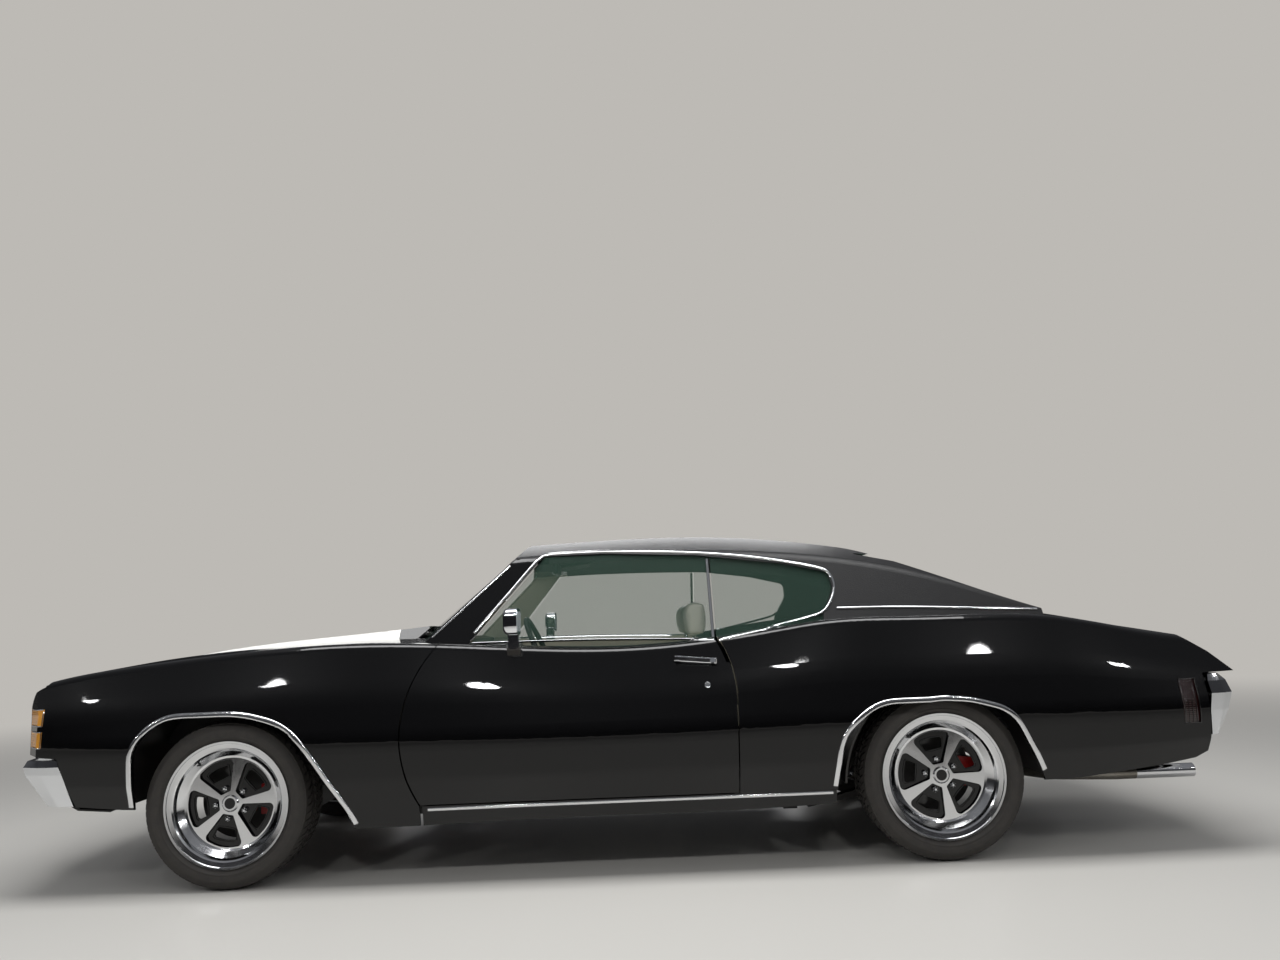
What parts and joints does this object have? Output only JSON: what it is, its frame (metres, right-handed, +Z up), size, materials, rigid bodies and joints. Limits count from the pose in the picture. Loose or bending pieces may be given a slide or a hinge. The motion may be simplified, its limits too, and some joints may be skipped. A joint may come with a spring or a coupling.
{
  "type": "muscle car",
  "caption": "Two-door hardtop muscle car with swinging doors, hood and deck lid, rolling wheels and coupled steering.",
  "frame": {"origin": "on the floor under the middle of the car's bounding box", "axes": "+X towards the rear, +Y towards the car's right, +Z up"},
  "size_m": [5.017, 1.995, 1.382],
  "materials": {
    "paint": "gloss black",
    "vinyl": "grained black vinyl",
    "glass": "green tint",
    "underbody": "satin black",
    "grille": "black",
    "chrome": "polished",
    "lamp_clear": "clear lens",
    "lamp_amber": "amber lens",
    "lamp_red": "red lens",
    "engine": "painted",
    "exhaust": "plain",
    "trim_black": "satin black",
    "upholstery": "cream",
    "rim": "polished",
    "tyre": "black sidewall"
  },
  "bodies": {
    "root": {"fender_left": "paint", "fender_right": "paint", "quarter_left": "paint", "quarter_right": "paint", "rocker_panels": "paint", "windshield_pillars": "paint", "roof": "vinyl", "windshield": "glass", "rear_window": "glass", "quarter_windows": "glass", "cowl": "paint", "frame": "underbody", "floor_pan": "underbody", "rear_shelf": "paint", "wheelhouses": "underbody", "nose_panel": "paint", "grille": "grille", "headlamp_bezels": "chrome", "headlamps": "lamp_clear", "corner_lamps": "lamp_amber", "front_bumper": "chrome", "front_valance": "paint", "rear_bumper": "chrome", "tail_lamps": "lamp_red", "tail_panel": "paint", "radiator": "underbody", "engine": "engine", "driveshaft": "underbody", "rear_axle": "underbody", "front_suspension": "underbody", "rear_suspension": "underbody", "exhaust": "exhaust", "fuel_tank": "underbody", "dashboard": "trim_black", "front_seats": "upholstery", "rear_seat": "upholstery", "steering_column": "trim_black"},
    "door_left": {"door_left": "paint", "door_glass_left": "glass", "mirror_left": "chrome"},
    "door_right": {"door_right": "paint", "door_glass_right": "glass", "mirror_right": "chrome"},
    "hood": {"hood": "paint"},
    "deck_lid": {"deck_lid": "paint"},
    "knuckle_left": {"knuckle_left": "underbody"},
    "knuckle_right": {"knuckle_right": "underbody"},
    "wheel_front_left": {"rim_front_left": "rim", "tyre_front_left": "tyre"},
    "wheel_front_right": {"rim_front_right": "rim", "tyre_front_right": "tyre"},
    "wheel_rear_left": {"rim_rear_left": "rim", "tyre_rear_left": "tyre"},
    "wheel_rear_right": {"rim_rear_right": "rim", "tyre_rear_right": "tyre"},
    "steering_wheel": {"steering_wheel": "trim_black"}
  },
  "joints": [
    {"name": "door_left_hinge", "type": "hinge", "parent": "root", "child": "door_left", "pos_m": [-0.8745, -0.952, 0.6], "axis": [0, 0, -1], "range_deg": [0, 65]},
    {"name": "door_right_hinge", "type": "hinge", "parent": "root", "child": "door_right", "pos_m": [-0.8745, 0.952, 0.6], "axis": [0, 0, 1], "range_deg": [0, 65]},
    {"name": "hood_hinge", "type": "hinge", "parent": "root", "child": "hood", "pos_m": [-0.8, 0, 0.955], "axis": [0, 1, 0], "range_deg": [0, 50]},
    {"name": "deck_lid_hinge", "type": "hinge", "parent": "root", "child": "deck_lid", "pos_m": [1.758, 0, 0.978], "axis": [0, -1, 0], "range_deg": [0, 75]},
    {"name": "steer_left", "type": "hinge", "parent": "root", "child": "knuckle_left", "pos_m": [-1.5785, -0.662, 0.326], "axis": [0, 0, 1], "range_deg": [-32, 32]},
    {"name": "steer_right", "type": "hinge", "parent": "root", "child": "knuckle_right", "pos_m": [-1.5785, 0.662, 0.326], "axis": [0, 0, 1], "range_deg": [-32, 32]},
    {"name": "steering_wheel_turn", "type": "hinge", "parent": "root", "child": "steering_wheel", "pos_m": [-0.353, -0.415, 0.846], "axis": [0.9135, 0, 0.4067], "range_deg": [-512, 512]},
    {"name": "wheel_front_left_spin", "type": "hinge", "parent": "knuckle_left", "child": "wheel_front_left", "pos_m": [-1.5785, -0.762, 0.326], "axis": [0, 1, 0], "continuous": true},
    {"name": "wheel_front_right_spin", "type": "hinge", "parent": "knuckle_right", "child": "wheel_front_right", "pos_m": [-1.5785, 0.762, 0.326], "axis": [0, 1, 0], "continuous": true},
    {"name": "wheel_rear_left_spin", "type": "hinge", "parent": "root", "child": "wheel_rear_left", "pos_m": [1.2665, -0.762, 0.326], "axis": [0, 1, 0], "continuous": true},
    {"name": "wheel_rear_right_spin", "type": "hinge", "parent": "root", "child": "wheel_rear_right", "pos_m": [1.2665, 0.762, 0.326], "axis": [0, 1, 0], "continuous": true}
  ],
  "couplings": [
    {"joint": "steer_right", "follows": "steer_left", "ratio": 1},
    {"joint": "steering_wheel_turn", "follows": "steer_left", "ratio": 16}
  ]
}
